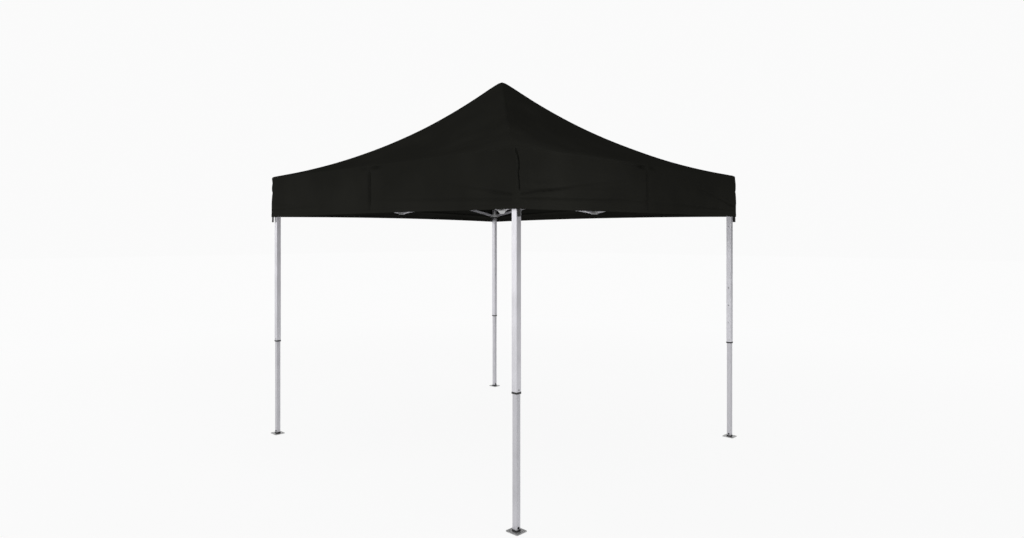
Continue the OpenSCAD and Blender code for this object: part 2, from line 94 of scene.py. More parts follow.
def smooth(value: Values, low: float, high: float) -> Values:
    """Ease from 0 at low to 1 at high, with level ends; low may lie above high, for a falling ramp."""
    share = np.clip((value - low) / (high - low), 0.0, 1.0)
    return share * share * (3.0 - 2.0 * share)


def bell(value: Values, width: float) -> Values:
    """A smooth swelling, 1 at zero, which fades over a width on both sides."""
    return np.exp(-((value / width) ** 2))


def make_mesh(
    name: str, points: Array, faces: Sequence[tuple[int, ...]], cut: Sequence[Span] = ()
) -> Item:
    """Make a smooth mesh object in the scene.

    Args:
        name: The piece's name.
        points: Its vertices.
        faces: Its faces.
        cut: Flat coordinates for each corner of its faces, if it has a cut.

    Returns:
        The object.
    """
    mesh = bpy.data.meshes.new(name)
    mesh.from_pydata(points.tolist(), [], list(faces))
    if cut:
        layer = mesh.uv_layers.new(name=CUT_LAYER)
        layer.data.foreach_set("uv", np.array(cut, np.float32).ravel())
    mesh.polygons.foreach_set("use_smooth", np.ones(len(mesh.polygons), bool))
    mesh.validate()
    mesh.update()
    piece = bpy.data.objects.new(name, mesh)
    bpy.context.scene.collection.objects.link(piece)
    return piece


class Named(Enum):
    """A choice whose name in the frame is its own in small letters."""

    @property
    def label(self) -> str:
        """The name in the frame."""
        return self.name.lower()


class Corner(Named):
    """A leg's corner, with its number of quarter turns from the front one."""

    FRONT = 0
    RIGHT = 1
    BACK = 2
    LEFT = 3


class Side(Named):
    """A side of the square, with its number of quarter turns from the front right one."""

    FRONT_RIGHT = 0
    BACK_RIGHT = 1
    BACK_LEFT = 2
    FRONT_LEFT = 3

    @property
    def corners(self) -> tuple[Corner, Corner]:
        """The corners at the side's low and high end."""
        return Corner(self.value), Corner((self.value + 1) % 4)

    def turned(self, points: Array) -> Array:
        """Points given for the front right side, turned to this side.

        Args:
            points: Rows of x, y, z.

        Returns:
            The turned rows.
        """
        x, y, z = points[..., 0], points[..., 1], points[..., 2]
        for _ in range(self.value):
            x, y = -y, x
        return np.stack((x, y, z), axis=-1)


class NodeGraph:
    """A node tree, with short calls that add and join its nodes."""

    def __init__(self, tree: bpy.types.NodeTree) -> None:
        """Take the tree of a material or of the world."""
        self.tree = tree

    def feed(self, socket: Socket, value: object) -> None:
        """Set a socket, or link it where the value is another node's output.

        Args:
            socket: The input to fill.
            value: A number, a colour, a vector or an output socket.
        """
        if isinstance(value, Socket):
            self.tree.links.new(value, socket)
        else:
            socket.default_value = value

    def add(self, kind: str, inputs: dict[str | int, object], **settings: object) -> bpy.types.Node:
        """Add a node.

        Args:
            kind: Blender's node type.
            inputs: Values or outputs for its inputs, by name or number.
            **settings: The node's own properties.

        Returns:
            The new node.
        """
        node = self.tree.nodes.new(kind)
        for key, value in settings.items():
            setattr(node, key, value)
        for key, value in inputs.items():
            self.feed(node.inputs[key], value)
        return node

    def ramp(
        self, value: Socket, span: Span, results: Sequence[object], form: str = "LINEAR"
    ) -> Socket:
        """A value mapped from one range to another, and held at its ends.

        Args:
            value: What is mapped.
            span: Where the range starts and ends.
            results: The results there, as numbers or outputs.
            form: Blender's name for the form of the ramp.

        Returns:
            The mapped value.
        """
        keys = ("Value", "From Min", "From Max", "To Min", "To Max")
        inputs = dict(zip(keys, (value, *span, *results)))
        return self.add("ShaderNodeMapRange", inputs, interpolation_type=form).outputs["Result"]


class Graph(NodeGraph):
    """A material's node tree, round one shader."""

    def __init__(self, name: str) -> None:
        """Start a material.

        Args:
            name: The material's name.
        """
        self.material = bpy.data.materials.new(name)
        self.material.use_nodes = True
        super().__init__(self.material.node_tree)
        self.tree.nodes.clear()
        self.shader = self.add("ShaderNodeBsdfPrincipled", {})
        self.output = self.add("ShaderNodeOutputMaterial", {"Surface": self.shader.outputs["BSDF"]})

    def shade(self, **inputs: object) -> None:
        """Fill the shader's inputs, with _ in a name for a space."""
        for key, value in inputs.items():
            self.feed(self.shader.inputs[key.replace("_", " ")], value)

    def solid_place(
        self, scale: Vec3 = (1.0, 1.0, 1.0), turn: Vec3 = (0.0, 0.0, 0.0)
    ) -> Socket:
        """Coordinates fixed to the object, turned to its grain and then scaled.

        Args:
            scale: Repeats to the metre along each axis of the grain.
            turn: The grain's Euler angles.

        Returns:
            The coordinates.
        """
        place = self.add("ShaderNodeTexCoord", {})
        stretch = tuple(1.0 / value for value in scale)
        inputs = {"Vector": place.outputs["Object"], "Rotation": turn, "Scale": stretch}
        return self.add("ShaderNodeMapping", inputs, vector_type="TEXTURE").outputs["Vector"]

    def cloth_place(self) -> tuple[Socket, Socket]:
        """The two coordinates of a piece's flat cut, in metres.

        Returns:
            The coordinates across and along the cut.
        """
        place = self.add("ShaderNodeUVMap", {}, uv_map=CUT_LAYER)
        parts = self.add("ShaderNodeSeparateXYZ", {"Vector": place.outputs["UV"]})
        return parts.outputs["X"], parts.outputs["Y"]

    def grain(self, place: Socket, scale: float, detail: float) -> Socket:
        """Noise from 0 to 1 at a number of repeats to the metre."""
        inputs = {"Vector": place, "Scale": scale, "Detail": detail}
        return self.add("ShaderNodeTexNoise", inputs).outputs["Fac"]

    def cells(self, place: Socket, scale: float, output: str) -> Socket:
        """Cells at a number of repeats to the metre, by one of their outputs."""
        return self.add("ShaderNodeTexVoronoi", {"Vector": place, "Scale": scale}).outputs[output]

    def sum(self, operation: str, first: object, second: object = 0.0) -> Socket:
        """One arithmetic step on two numbers."""
        return self.add("ShaderNodeMath", {0: first, 1: second}, operation=operation).outputs[0]

    def spread(self, value: Socket, low: float, high: float) -> Socket:
        """Noise, which keeps mostly to its span, stretched to run from low to high."""
        return self.ramp(value, NOISE_SPAN, (low, high))

    def tint(self, value: Socket, dark: Colour, light: Colour) -> Socket:
        """Noise turned to a colour.

        Args:
            value: The noise, which keeps mostly to its span.
            dark: The colour at the span's start.
            light: The colour at its end.

        Returns:
            The colour.
        """
        node = self.add("ShaderNodeValToRGB", {"Fac": value})
        for stop, place, colour in zip(node.color_ramp.elements, NOISE_SPAN, (dark, light)):
            stop.position = place
            stop.color = colour
        return node.outputs["Color"]

    def relief(self, *layers: tuple[object, float, float]) -> Socket:
        """Bump layers, one on top of another.

        Args:
            *layers: A height, its depth in metres and its strength, from broad to fine.

        Returns:
            The bumped normal.
        """
        normal = None
        for height, depth, strength in layers:
            inputs = {"Height": height, "Distance": depth, "Strength": strength}
            if normal is not None:
                inputs["Normal"] = normal
            normal = self.add("ShaderNodeBump", inputs).outputs["Normal"]
        return normal


@dataclass(frozen=True)
class Finish(ABC):
    """A surface finish, which makes its material once."""

    name: str

    @abstractmethod
    def dress(self, graph: Graph) -> None:
        """Add the finish's nodes to a new material.

        Args:
            graph: The material's node tree.
        """

    def material(self) -> bpy.types.Material:
        """The finish's material, made on first use.

        Returns:
            The material.
        """
        found = bpy.data.materials.get(self.name)
        if found is None:
            graph = Graph(self.name)
            self.dress(graph)
            found = graph.material
        return found


class Grain(Enum):
    """Which way a drawn tube's lines run, as Euler angles that turn +X to them."""

    UPRIGHT = (0.0, -math.pi / 2, 0.0)
    X_RISING = (0.0, -BAR_TILT, 0.0)
    X_FALLING = (0.0, BAR_TILT, 0.0)
    Y_RISING = (0.0, -BAR_TILT, math.pi / 2)
    Y_FALLING = (0.0, BAR_TILT, math.pi / 2)


@dataclass(frozen=True)
class DrawnAluminium(Finish):
    """Anodised tube: fine drawn lines along it, and faint marks from handling."""

    grain: Grain = Grain.UPRIGHT
    tone: float = 0.59

    def dress(self, graph: Graph) -> None:
        """Add the lines, the marks and the satin sheen.

        Args:
            graph: The material's node tree.
        """
        along = graph.solid_place((2.5, 420.0, 420.0), self.grain.value)
        lines = graph.grain(along, 1.0, 3.0)
        cloud = graph.grain(graph.solid_place(), 7.0, 4.0)
        marks = graph.grain(graph.solid_place((9.0, 60.0, 60.0), self.grain.value), 1.0, 5.0)
        mixed = graph.sum("MULTIPLY", graph.sum("ADD", lines, marks), 0.5)
        graph.shade(
            Base_Color=graph.tint(cloud, self.cool(0.93), self.cool(1.05)),
            Metallic=0.92,
            Roughness=graph.spread(mixed, 0.34, 0.50),
            Normal=graph.relief((marks, 0.0001, 0.25), (lines, 0.00005, 0.35)),
        )

    def cool(self, share: float) -> Colour:
        """A share of the tone, a little towards violet."""
        tone = self.tone * share
        return (tone * 1.005, tone * 0.995, tone * 1.05, 1.0)


@dataclass(frozen=True)
class Mottled(Finish):
    """A cloudy finish over a fine relief: die cast, moulded or plated.

    A layer of the relief has a scale, detail, depth and strength. One without detail is made of cells.
    """

    tone: float
    cloud: Span
    shades: tuple[Span, Span]
    rough: Span
    layers: tuple[tuple[float, float, float, float], ...]
    metallic: float = 0.0
    specular: float = 0.5

    def dress(self, graph: Graph) -> None:
        """Add the clouds and the relief.

        Args:
            graph: The material's node tree.
        """
        place = graph.solid_place()
        cloud = graph.grain(place, *self.cloud)
        dark, light = (grey(self.tone * share, warmth) for share, warmth in self.shades)
        heights = []
        for size, detail, depth, strength in self.layers:
            height = graph.grain(place, size, detail) if detail else graph.cells(place, size, "Distance")
            heights.append((height, depth, strength))
        graph.shade(
            Base_Color=graph.tint(cloud, dark, light),
            Metallic=self.metallic,
            Roughness=graph.spread(cloud, *self.rough),
            Specular_IOR_Level=self.specular,
            Normal=graph.relief(*heights),
        )


@dataclass(frozen=True)
class FootSteel(Finish):
    """Stamped foot plate: galvanised, scuffed by the ground."""

    tone: float = 0.44

    def dress(self, graph: Graph) -> None:
        """Add the spangle, the scuffs and the dull patches.

        Args:
            graph: The material's node tree.
        """
        place = graph.solid_place()
        spangle = graph.cells(place, 130.0, "Color")
        value = graph.add("ShaderNodeRGBToBW", {"Color": spangle}).outputs["Val"]
        scuffs = graph.grain(graph.solid_place((30.0, 240.0, 240.0), (0.0, 0.0, 0.7)), 1.0, 5.0)
        cloud = graph.grain(place, 40.0, 5.0)
        mixed = graph.sum("ADD", graph.sum("MULTIPLY", value, 0.3), graph.sum("MULTIPLY", cloud, 0.7))
        graph.shade(
            Base_Color=graph.tint(mixed, grey(self.tone * 0.8, 0.006), grey(self.tone * 1.15)),
            Metallic=0.9,
            Roughness=graph.spread(scuffs, 0.36, 0.56),
            Normal=graph.relief((scuffs, 0.0001, 0.35), (cloud, 0.0001, 0.2)),
        )


@dataclass(frozen=True)
class CanopyCloth(Finish):
    """Black coated polyester in a plain weave, a little dusty, with painted shade under the eave and its
    rows of stitches.
    """

    pitch: float = 0.0011
    tone: float = 0.0128
    panel_step: float = 3.2
    stitch: float = 0.0055
    thread: float = 0.0007
    seam_rows: tuple[float, ...] = (0.0062,)
    hem_rows: tuple[float, ...] = ()
    # Painted shade: along this span of the cut the colour is darker over the roof and under the eave,
    # and lighter towards the hem.
    dust_span: Span = (0.0, 1.0)
    dust_shift: Span = (-0.16, 0.08)

    def dress(self, graph: Graph) -> None:
        """Add the weave, the slubs, the dust, the painted shade under the eave, the stitches and the
        broad unevenness.

        Args:
            graph: The material's node tree.
        """
        across, along = graph.cloth_place()
        turns = math.tau / self.pitch
        warp = graph.sum("SINE", graph.sum("MULTIPLY", across, turns))
        weft = graph.sum("SINE", graph.sum("MULTIPLY", along, turns))
        weave = graph.sum("MULTIPLY", warp, weft)
        place = graph.solid_place()
        # Painted shade: darker over the roof and under the eave, lighter down each valance to the hem,
        # added to the dust noise.
        painted_eave_shade = graph.ramp(along, self.dust_span, self.dust_shift)
        dust_and_painted_shade = graph.sum("ADD", graph.grain(place, 2.2, 5.0), painted_eave_shade)
        slubs = graph.grain(graph.solid_place((40.0, 40.0, 900.0)), 1.0, 3.0)
        crumple = graph.grain(place, 18.0, 4.0)
        sewn = self.stitches(graph, across, along)
        dark = (self.tone * 0.9, self.tone * 0.9, self.tone * 0.775, 1.0)
        light = (self.tone * 1.15, self.tone * 1.15, self.tone * 0.99, 1.0)
        graph.shade(
            Base_Color=graph.tint(graph.sum("ADD", dust_and_painted_shade, graph.sum("MULTIPLY", sewn, 0.4)), dark, light),
            Roughness=graph.spread(dust_and_painted_shade, 0.66, 0.80),
            Specular_IOR_Level=0.0,
            Normal=graph.relief(
                (crumple, 0.0015, 0.25), (sewn, 0.0008, 0.8), (slubs, 0.0001, 0.15), (weave, 0.0002, 0.5)
            ),
        )

    def stitches(self, graph: Graph, across: object, along: object) -> Socket:
        """Rows of stitches beside the middle seams and along the hem.

        Args:
            graph: The material's node tree.
            across: The coordinate across the cut.
            along: The coordinate down the cut.

        Returns:
            1 on a stitch, 0 beside it.
        """
        half = self.panel_step / 2
        wrap = graph.add("ShaderNodeMath", {0: across, 1: half, 2: -half}, operation="WRAP")
        beside = graph.sum("ABSOLUTE", wrap.outputs[0])
        rows = [(beside, along, place) for place in self.seam_rows]
        rows += [(along, across, place) for place in self.hem_rows]
        total: object = 0.0
        for distance, length, place in rows:
            off = graph.sum("ABSOLUTE", graph.sum("SUBTRACT", distance, place))
            inside = graph.sum("SUBTRACT", 1.0, graph.sum("DIVIDE", off, self.thread))
            line = graph.sum("MAXIMUM", inside, 0.0)
            dash = graph.sum("SINE", graph.sum("MULTIPLY", length, math.tau / self.stitch))
            sewn = graph.sum("MULTIPLY", line, graph.sum("MAXIMUM", dash, 0.0))
            total = graph.sum("MAXIMUM", total, sewn)
        return total


@dataclass(frozen=True)
class Webbing(Finish):
    """Black polypropylene webbing with ribs across it."""

    pitch: float = 0.0022
    tone: float = 0.009

    def dress(self, graph: Graph) -> None:
        """Add the ribs and the crossing yarns.

        Args:
            graph: The material's node tree.
        """
        across, along = graph.cloth_place()
        ribs = graph.sum("SINE", graph.sum("MULTIPLY", along, math.tau / self.pitch))
        yarns = graph.sum("SINE", graph.sum("MULTIPLY", across, math.tau / self.pitch * 0.7))
        fuzz = graph.grain(graph.solid_place(), 380.0, 3.0)
        height = graph.sum("ADD", ribs, graph.sum("MULTIPLY", yarns, 0.4))
        graph.shade(
            Base_Color=graph.tint(fuzz, grey(self.tone * 0.8), grey(self.tone * 1.3)),
            Roughness=graph.spread(fuzz, 0.58, 0.8),
            Specular_IOR_Level=0.35,
            Normal=graph.relief((height, 0.0004, 0.6), (fuzz, 0.0001, 0.3)),
        )


INNER_TUBE = DrawnAluminium("drawn_aluminium_inner", tone=0.52)
CASTING = Mottled(
    "cast_aluminium",
    tone=0.50,
    cloud=(26.0, 4.0),
    shades=((0.85, 0.004), (1.1, -0.006)),
    rough=(0.44, 0.60),
    layers=((260.0, 2.0, 0.0003, 0.3), (900.0, 3.0, 0.0001, 0.4)),
    metallic=0.85,
)
NYLON = Mottled(
    "black_nylon",
    tone=0.012,
    cloud=(34.0, 3.0),
    shades=((0.8, 0.0), (1.35, 0.0)),
    rough=(0.42, 0.58),
    layers=((1500.0, 2.0, 0.0001, 0.5),),
    specular=0.45,
)
END_NYLON = replace(NYLON, name="grey_nylon", tone=0.16)
PIN = Mottled(
    "zinc_steel",
    tone=0.56,
    cloud=(120.0, 4.0),
    shades=((0.78, 0.015), (1.08, 0.006)),
    rough=(0.26, 0.44),
    layers=((420.0, 0.0, 0.00005, 0.2),),
    metallic=1.0,
)
DARK_SCREW = replace(PIN, name="black_oxide_steel", tone=0.02)
PLATE = FootSteel("foot_steel")
CLOTH = CanopyCloth("canopy_cloth")
STRAP = Webbing("tab_webbing")


@dataclass
class Solid:
    """One closed solid of a node, by its vertices in millimetres."""

    vertices: Array

    @property
    def box(self) -> Array:
        """The sides of its box along x, y and z."""
        return np.ptp(self.vertices, axis=0)


@dataclass
class FrameDresser:
    """Gives each solid of the frame's nodes the finish of what it is."""

    nodes: dict[str, Item]
    tube_from: float = 500.0
    pin_across: float = 10.0
    pin_slack: float = 0.6
    plate_to: float = 6.0
    washer_to: float = 3.0
    screw_to: float = 9.0
    ring_to: float = 20.0
    bolt_to: float = 18.0
    collar_below: float = 1000.0
    left_out: tuple[str, ...] = ("canopy",)

    def dress(self) -> None:
        """Dress every node that stays in sight."""
        for name, node in self.nodes.items():
            if name not in self.left_out:
                count = self.dress_node(name, node)
                log.info("%s: %d solids dressed", name, count)

    def dress_node(self, name: str, node: Item) -> int:
        """Put a material on each solid of a node.

        Args:
            name: The node's name.
            node: Its object.

        Returns:
            How many solids it has.
        """
        mesh = node.data
        labels, solids = self.split(mesh)
        finishes = [self.finish_of(name, solid) for solid in solids]
        used = list(dict.fromkeys(finishes))
        mesh.materials.clear()
        for finish in used:
            mesh.materials.append(finish.material())
        for polygon in mesh.polygons:
            polygon.material_index = used.index(finishes[labels[polygon.vertices[0]]])
        mesh.update()
        return len(solids)

    @staticmethod
    def split(mesh: bpy.types.Mesh) -> tuple[Array, list[Solid]]:
        """Find a mesh's separate solids.

        Args:
            mesh: The node's mesh, whose vertices may be doubled along sharp edges.

        Returns:
            Each vertex's solid number, and the solids.
        """
        points = np.array([vertex.co for vertex in mesh.vertices], np.float32) * MILLIMETRES
        _, merged = np.unique(np.round(points, 3), axis=0, return_inverse=True)
        merged = merged.reshape(-1)
        parent = list(range(int(merged.max()) + 1))

        def root(item: int) -> int:
            """The item that stands for a group.

            Args:
                item: One of the group.

            Returns:
                The group's own item.
            """
            while parent[item] != item:
                parent[item] = parent[parent[item]]
                item = parent[item]
            return item

        for edge in mesh.edges:
            start, end = merged[list(edge.vertices)].tolist()
            parent[root(start)] = root(end)
        roots = np.array([root(item) for item in range(len(parent))])[merged]
        _, labels = np.unique(roots, return_inverse=True)
        labels = labels.reshape(-1)
        return labels, [Solid(points[labels == number]) for number in range(int(labels.max()) + 1)]

    def finish_of(self, name: str, solid: Solid) -> Finish:
        """What one solid of a node is made of.

        Args:
            name: The node's name.
            solid: The solid.

        Returns:
            Its finish.
        """
        thin, middle, long = np.sort(solid.box)
        if long > self.tube_from:
            return INNER_TUBE if name.startswith("inner_leg") else self.tube_finish(solid)
        if long < self.screw_to:
            return DARK_SCREW
        if name.startswith(("leg_button", "slider_lock")):
            return PIN
        if max(abs(thin - self.pin_across), abs(middle - self.pin_across)) < self.pin_slack:
            return PIN
        if name.startswith("foot"):
            if thin < self.plate_to:
                return PLATE
            return DARK_SCREW if thin < self.bolt_to else NYLON
        if thin < self.washer_to or name.startswith(("inner_leg", "mast_top")):
            return NYLON
        if name.startswith("slider_") and thin < self.ring_to and "bar" not in name:
            return NYLON
        if name.startswith("outer_leg") and solid.vertices[:, 2].min() < self.collar_below:
            return NYLON
        return END_NYLON if "bar" in name else CASTING

    @staticmethod
    def tube_finish(solid: Solid) -> Finish:
        """Drawn aluminium with its lines along a tube.

        Args:
            solid: The tube.

        Returns:
            The finish for the tube's direction.
        """
        axis = int(np.argmax(solid.box))
        if axis == 2:
            return DrawnAluminium("drawn_aluminium_upright", grain=Grain.UPRIGHT)
        points = solid.vertices - solid.vertices.mean(axis=0)
        slope = "RISING" if float((points[:, axis] * points[:, 2]).sum()) > 0 else "FALLING"
        grain = Grain[f"{'XY'[axis]}_{slope}"]
        return DrawnAluminium(f"drawn_aluminium_{grain.name.lower()}", grain=grain)


class Zone(Enum):
    """Which part of the canopy a row of its mesh is in."""

    ROOF = "roof"
    EAVE = "eave"
    DROP = "drop"
    HEM = "hem"
    RETURN = "return"


@dataclass(frozen=True)
class Row:
    """One ring of the canopy's mesh, as a point and a normal of its cross-section."""

    zone: Zone
    out: float
    height: float
    normal_out: float
    normal_up: float
    path: float
    down: float


@dataclass(frozen=True)
class Strip:
    """A row along one side: its places, their angles round the corners, and the corners' radius."""

    row: Row
    side: Side
    places: Array
    angles: Array
    radius: float

    @property
    def end(self) -> float:
        """Where the straight part ends and a corner's arc starts."""
        return self.row.out - self.radius

    @property
    def corner(self) -> Array:
        """Each place's distance to the nearer corner's arc."""
        return np.maximum(self.end - np.abs(self.places), 0.0)


@dataclass(frozen=True)
class Bump:
    """A smooth swelling, or a dent where its height is below zero."""

    height: float
    width: float
    centre: float = 0.0

    def at(self, place: Values) -> Values:
        """How high it is at one place or at many."""
        return self.height * bell(place - self.centre, self.width)


@dataclass(frozen=True)
class Pull:
    """A tension fold of a valance, from one end of it: its height there, its rise, reach and depth."""

    high_end: bool
    height: float
    rise: float
    reach: float
    depth: float


@dataclass(frozen=True)
class Fan:
    """Small folds that fan from the hips, and the span over which they grow from the tip."""

    depth: float = 0.0016
    rate: float = 46.0
    waver: float = 2.0
    start: float = 0.02
    reach: float = 0.22
    grown: Span = (0.1, 0.6)
    least_out: float = 0.05


@dataclass
class Canopy:
    """The fabric cover: four roof panels and four valances, sewn into one sheet."""

    bodies: dict[str, Item]
    leg_axis: float = 1.46
    half: float = 1.49955
    eave_radius: float = 0.016
    eave_z: float = 2.36296
    peak_z: float = 3.223
    valance_height: float = 0.370
    thickness: float = 0.0009
    # The roof's curve, and how its panels sag.
    hip_linear: float = 0.405
    hip_square: float = 0.412
    tip_round: float = 0.030
    tip_half: float = 0.006
    tip_calm: Span = (0.01, 0.08)
    sag: float = 0.025
    taut_rise: Bump = Bump(0.0085, 0.42, 0.72)
    taut_width: float = 0.25
    seat_lift: float = 0.0018
    seat_across: Span = (0.12, 0.05)
    seat_out: Span = (1.30, 1.40)
    # The valances' waves, and how they hang.
    wave_depth: float = 0.003
    waves: int = 3
    bulge: float = 0.004
    bulge_along: Span = (0.88, 0.95)
    bulge_down: Span = (1 / 3, 2 / 3)
    hem_arches: tuple[float, ...] = (0.0, 0.014, 0.015, 0.0)
    front_drop: float = 0.010
    drop_reach: float = 0.9
    # Seams, corner strips and hem.
    corner_radius: float = 0.012
    corner_share: float = 0.25
    edge_step: float = 0.0015
    seam_half: float = 0.0085
    seam_height: float = 0.0011
    seam_from: Span = (0.02, 0.1)
    strip_width: float = 0.08
    strip_height: float = 0.0006
    hem_stand: float = 0.0012
    hem_turn: float = 0.0011
    hem_steps: tuple[float, ...] = (0.026, 0.019, 0.010, 0.003, 0.0008)
    return_steps: tuple[float, ...] = (0.0008, 0.009, 0.018, 0.025)
    hem_stitches: tuple[float, ...] = (0.004, 0.0095)
    # The crease down each corner.
    crease_depth: float = 0.015
    crease_line: tuple[Span, ...] = (
        (2.09, 0.012),
        (2.16, 0.010),
        (2.21, 0.005),
        (2.23, 0.013),
        (2.27, 0.013),
        (2.34, -0.005),
        (2.37, -0.010),
    )
    crease_ends: tuple[Span, ...] = ((2.085, 2.12), (2.372, 2.335))
    crease_fold: tuple[Bump, ...] = (
        Bump(0.15, 0.008, 0.018),
        Bump(0.15, 0.008, -0.018),
        Bump(-1.0, 0.006),
    )
    crease_kink: Bump = Bump(-0.004, 0.011, 2.222)
    kink_width: float = 0.04
    # Unevenness, folds and gathers.
    noise_shift: float = 7.3
    noise_slice: float = 0.7
    broad: Span = (2.3, 3.1)
    fine: Span = (3.0, 26.0)
    roof_rough: float = 0.0016
    drop_rough: float = 0.0015
    drop_fine: float = 0.0034
    fine_down: Span = (0.1, 0.5)
    fan: Fan = Fan()
    puckers: tuple[Bump, ...] = (
        Bump(0.004, 0.016),
        Bump(-0.025, 0.065, 0.075),
        Bump(-0.015, 0.05, -0.07),
    )
    roof_band: Bump = Bump(1.0, 0.02)
    eave_band: Bump = Bump(1.0, 0.014, -0.026)
    seam_valley: Bump = Bump(-0.020, 0.017)
    valley_ends: tuple[Span, ...] = ((1.0, 0.7), (0.02, 0.2))
    seam_groove: Bump = Bump(-0.003, 0.003)
    pull_fold: tuple[Bump, ...] = (Bump(-1.0, 0.0075), Bump(0.5, 0.011, 0.019))
    pulls: tuple[tuple[Pull, ...], ...] = (
        (
            Pull(False, 2.075, 0.12, 0.90, 0.0120),
            Pull(False, 2.100, 0.05, 0.90, 0.0065),
            Pull(False, 2.049, 0.02, 2.00, 0.0085),
            Pull(True, 2.078, 0.21, 0.60, 0.0125),
            Pull(True, 2.049, 0.02, 1.40, 0.0085),
        ),
        (
            Pull(False, 2.110, -0.05, 0.45, 0.0060),
            Pull(False, 2.052, 0.03, 0.80, 0.0080),
            Pull(True, 2.075, 0.16, 0.50, 0.0115),
            Pull(True, 2.049, 0.03, 1.40, 0.0080),
        ),
    )
    corner_calm: Span = (-0.001, 0.04)
    # How the cloth gathers when the frame folds.
    pleats: int = 4
    pleat_depth: float = 0.10
    fold_travel: float = 1.2697
    gather_power: float = 0.33
    # The mesh.
    roof_rows: int = 28
    roof_ease: float = 1.3
    eave_angles: tuple[float, ...] = (75.0, 60.0, 45.0, 30.0, 15.0, 0.0)
    drop_rows: int = 42
    wide_columns: int = 44
    strip_columns: int = 4
    edge_columns: tuple[float, ...] = (0.04, 0.03, 0.022, 0.016, 0.012, 0.01, 0.0085, 0.006, 0.003, 0.0)
    seam_columns: tuple[float, ...] = (0.0, 0.002, 0.004, 0.007, 0.0085, 0.012, 0.018, 0.026, 0.036)
    corner_angles: tuple[float, ...] = (15.0, 30.0, 45.0)
    full_columns_from: float = 0.6
    tip_cut: tuple[Span, ...] = ((0.0, 0.0), (0.001, 0.001), (0.002, 0.001))
    rows: list[Row] = field(default_factory=list)

    def __post_init__(self) -> None:
        """Lay out the rows of the mesh, from the tip to the inside of the hem."""
        self.hem_z = self.eave_z - self.valance_height
        self.roof_half = self.half - self.eave_radius
        self.hip_cube = 1.0 - self.hip_linear - self.hip_square
        self.lay_rows()

    def inward(self, out: float) -> float:
        """How far in from the eave a row lies, as a share of the way to the tip."""
        return 1.0 - math.hypot(out, self.tip_round) / math.hypot(self.roof_half, self.tip_round)

    def curve(self, out: float) -> float:
        """The hip's curve before it is scaled to the peak."""
        rest = self.inward(out)
        return self.hip_linear * rest + self.hip_square * rest**2 + self.hip_cube * rest**3

    def hip(self, out: float) -> float:
        """The roof's share of its rise at a distance from the mast, 0 at the eave and 1 at the tip."""
        return self.curve(out) / self.curve(self.tip_half)

    def lay_rows(self) -> None:
        """Fill the list of rows."""
        points: list[tuple[Zone, float, float]] = []
        for step in range(self.roof_rows + 1):
            share = (step / self.roof_rows) ** self.roof_ease
            out = self.tip_half + (self.roof_half - self.tip_half) * share
            points.append((Zone.ROOF, out, self.eave_z + (self.peak_z - self.eave_z) * self.hip(out)))
        for angle in self.eave_angles:
            turn = math.radians(angle)
            out = self.roof_half + self.eave_radius * math.cos(turn)
            points.append((Zone.EAVE, out, self.eave_z - self.eave_radius * (1 - math.sin(turn))))
        top, bottom = self.eave_z - self.eave_radius, self.hem_z + self.hem_steps[0] + self.edge_step
        for step in range(1, self.drop_rows + 1):
            points.append((Zone.DROP, self.half, top + (bottom - top) * step / self.drop_rows))
        points += [(Zone.HEM, self.half, self.hem_z + height) for height in self.hem_steps]
        points.append((Zone.HEM, self.half - self.hem_turn, self.hem_z))
        inside = self.half - 2 * self.hem_turn
        points += [(Zone.RETURN, inside, self.hem_z + height) for height in self.return_steps]
        path = 0.0
        for index, (zone, out, height) in enumerate(points):
            before = points[max(index - 1, 0)]
            after = points[min(index + 1, len(points) - 1)]
            run, fall = after[1] - before[1], before[2] - after[2]
            length = math.hypot(run, fall)
            upright = zone in (Zone.DROP, Zone.HEM, Zone.RETURN)
            normal = (1.0, 0.0) if upright else (fall / length, run / length)
            path += math.hypot(out - before[1], height - before[2])
            down = min(max((top - height) / (top - self.hem_z), 0.0), 1.0)
            self.rows.append(Row(zone, out, height, *normal, path, down))

    def drop_span(self) -> Span:
        """Where a valance and its hem start, down the cut.

        Returns:
            The two distances from the tip.
        """
        drop, hem = (
            next(row.path for row in self.rows if row.zone is zone) for zone in (Zone.DROP, Zone.HEM)
        )
        return drop, hem

    def columns(self, out: float) -> tuple[Array, Array, float]:
        """The columns of a side, closer together beside its seams and corners.

        Args:
            out: The row's distance from the mast.

        Returns:
            Each column's place along the side, its angle round the corner, and the corner's radius.
        """
        radius = min(self.corner_radius, self.corner_share * out)
        end = out - radius
        fit = min(1.0, out / self.full_columns_from)
        seam = np.array(self.seam_columns) * fit
        strip = end - np.array((self.strip_width + self.edge_step, self.strip_width)) * fit
        edge = end - np.array(self.edge_columns) * fit
        share = np.linspace(0.0, 1.0, self.wide_columns + 2)[1:-1]
        wide = seam[-1] + (strip[0] - seam[-1]) * (share + np.sin(share * math.pi / 2)) / 2
        near = np.linspace(strip[-1], edge[0], self.strip_columns + 2)[1:-1]
        straight = np.concatenate((seam, wide, strip, near, edge))
        turned = np.radians(self.corner_angles)
        places = np.concatenate((straight, np.full(len(turned), end)))
        angles = np.concatenate((np.zeros(len(straight)), turned))
        return (
            np.concatenate((-places[:0:-1], places)),
            np.concatenate((-angles[:0:-1], angles)),
            radius,
        )

